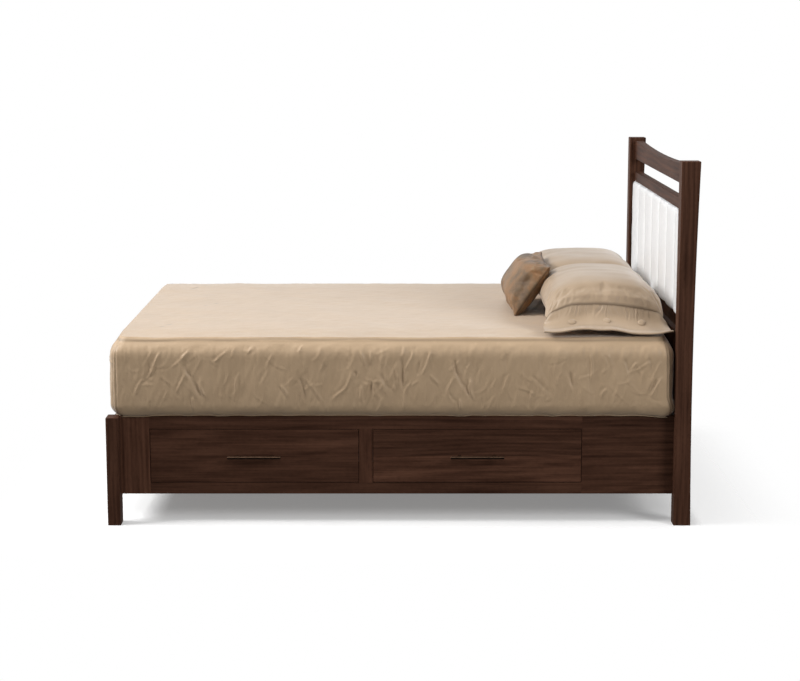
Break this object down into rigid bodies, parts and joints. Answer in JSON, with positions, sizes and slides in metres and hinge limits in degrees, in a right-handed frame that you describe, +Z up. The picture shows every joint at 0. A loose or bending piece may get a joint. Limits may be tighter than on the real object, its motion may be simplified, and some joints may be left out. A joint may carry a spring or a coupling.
{
  "type": "storage bed",
  "caption": "Platform storage bed with a mattress, drawers in both sides, tall headboard posts, a hollowed crest rail and a channelled upholstered panel.",
  "frame": {"origin": "on the floor under the middle of the whole bed", "axes": "+X from the foot to the headboard, +Y across the bed to the side away from the picture's view, +Z up"},
  "size_m": [2.1549, 1.59, 1.34],
  "materials": {
    "dark_wood": "dark walnut, satin lacquer",
    "inner_wood": "plain birch and pine, unfinished",
    "drawer_wood": "clear-lacquered maple",
    "white_upholstery": "smooth white upholstery cloth",
    "ticking": "quilted ticking",
    "sheet_cotton": "sand-coloured sateen, creased",
    "sham_cotton": "greige cotton with a buttoned flange",
    "cushion_fabric": "mottled brown and grey weave",
    "bronze": "oil-rubbed bronze",
    "plated_steel": "zinc plated"
  },
  "bodies": {
    "bed_frame": {"headboard_post_near": "dark_wood", "headboard_post_far": "dark_wood", "headboard_crest_rail": "dark_wood", "headboard_mid_rail": "dark_wood", "headboard_panel_rail": "dark_wood", "headboard_lower_board": "dark_wood", "foot_leg_near": "dark_wood", "foot_leg_far": "dark_wood", "footboard_rail": "dark_wood", "near_top_rail": "dark_wood", "near_bottom_rail": "dark_wood", "near_foot_stile": "dark_wood", "near_centre_stile": "dark_wood", "near_head_panel": "dark_wood", "far_top_rail": "dark_wood", "far_bottom_rail": "dark_wood", "far_foot_stile": "dark_wood", "far_centre_stile": "dark_wood", "far_head_panel": "dark_wood", "headboard_panel_board": "inner_wood", "headboard_upholstery": "white_upholstery", "corner_hardware": "plated_steel", "drawer_partitions": "inner_wood", "slat_supports": "inner_wood", "slats": "inner_wood", "support_feet": "dark_wood", "slide_outer_members": "plated_steel", "mattress": "ticking", "fitted_sheet": "sheet_cotton", "sham_near": "sham_cotton", "sham_far": "sham_cotton", "accent_cushion": "cushion_fabric"},
    "near_foot_drawer": {"near_foot_drawer_front": "dark_wood", "near_foot_drawer_sides": "drawer_wood", "near_foot_drawer_back": "drawer_wood", "near_foot_drawer_bottom": "drawer_wood", "near_foot_drawer_pull": "bronze", "near_foot_slide_inner_members": "plated_steel"},
    "near_foot_slide_middle": {"near_foot_slide_middle_members": "plated_steel"},
    "near_head_drawer": {"near_head_drawer_front": "dark_wood", "near_head_drawer_sides": "drawer_wood", "near_head_drawer_back": "drawer_wood", "near_head_drawer_bottom": "drawer_wood", "near_head_drawer_pull": "bronze", "near_head_slide_inner_members": "plated_steel"},
    "near_head_slide_middle": {"near_head_slide_middle_members": "plated_steel"},
    "far_foot_drawer": {"far_foot_drawer_front": "dark_wood", "far_foot_drawer_sides": "drawer_wood", "far_foot_drawer_back": "drawer_wood", "far_foot_drawer_bottom": "drawer_wood", "far_foot_drawer_pull": "bronze", "far_foot_slide_inner_members": "plated_steel"},
    "far_foot_slide_middle": {"far_foot_slide_middle_members": "plated_steel"},
    "far_head_drawer": {"far_head_drawer_front": "dark_wood", "far_head_drawer_sides": "drawer_wood", "far_head_drawer_back": "drawer_wood", "far_head_drawer_bottom": "drawer_wood", "far_head_drawer_pull": "bronze", "far_head_slide_inner_members": "plated_steel"},
    "far_head_slide_middle": {"far_head_slide_middle_members": "plated_steel"}
  },
  "joints": [
    {"name": "near_foot_drawer_slide", "type": "slide", "parent": "bed_frame", "child": "near_foot_drawer", "axis": [0, -1, 0], "range_m": [0, 0.5]},
    {"name": "near_foot_slide_middle_travel", "type": "slide", "parent": "bed_frame", "child": "near_foot_slide_middle", "axis": [0, -1, 0], "range_m": [0, 0.25]},
    {"name": "near_head_drawer_slide", "type": "slide", "parent": "bed_frame", "child": "near_head_drawer", "axis": [0, -1, 0], "range_m": [0, 0.5]},
    {"name": "near_head_slide_middle_travel", "type": "slide", "parent": "bed_frame", "child": "near_head_slide_middle", "axis": [0, -1, 0], "range_m": [0, 0.25]},
    {"name": "far_foot_drawer_slide", "type": "slide", "parent": "bed_frame", "child": "far_foot_drawer", "axis": [0, 1, 0], "range_m": [0, 0.5]},
    {"name": "far_foot_slide_middle_travel", "type": "slide", "parent": "bed_frame", "child": "far_foot_slide_middle", "axis": [0, 1, 0], "range_m": [0, 0.25]},
    {"name": "far_head_drawer_slide", "type": "slide", "parent": "bed_frame", "child": "far_head_drawer", "axis": [0, 1, 0], "range_m": [0, 0.5]},
    {"name": "far_head_slide_middle_travel", "type": "slide", "parent": "bed_frame", "child": "far_head_slide_middle", "axis": [0, 1, 0], "range_m": [0, 0.25]}
  ],
  "couplings": [
    {"joint": "near_foot_slide_middle_travel", "follows": "near_foot_drawer_slide", "ratio": 0.5},
    {"joint": "near_head_slide_middle_travel", "follows": "near_head_drawer_slide", "ratio": 0.5},
    {"joint": "far_foot_slide_middle_travel", "follows": "far_foot_drawer_slide", "ratio": 0.5},
    {"joint": "far_head_slide_middle_travel", "follows": "far_head_drawer_slide", "ratio": 0.5}
  ]
}
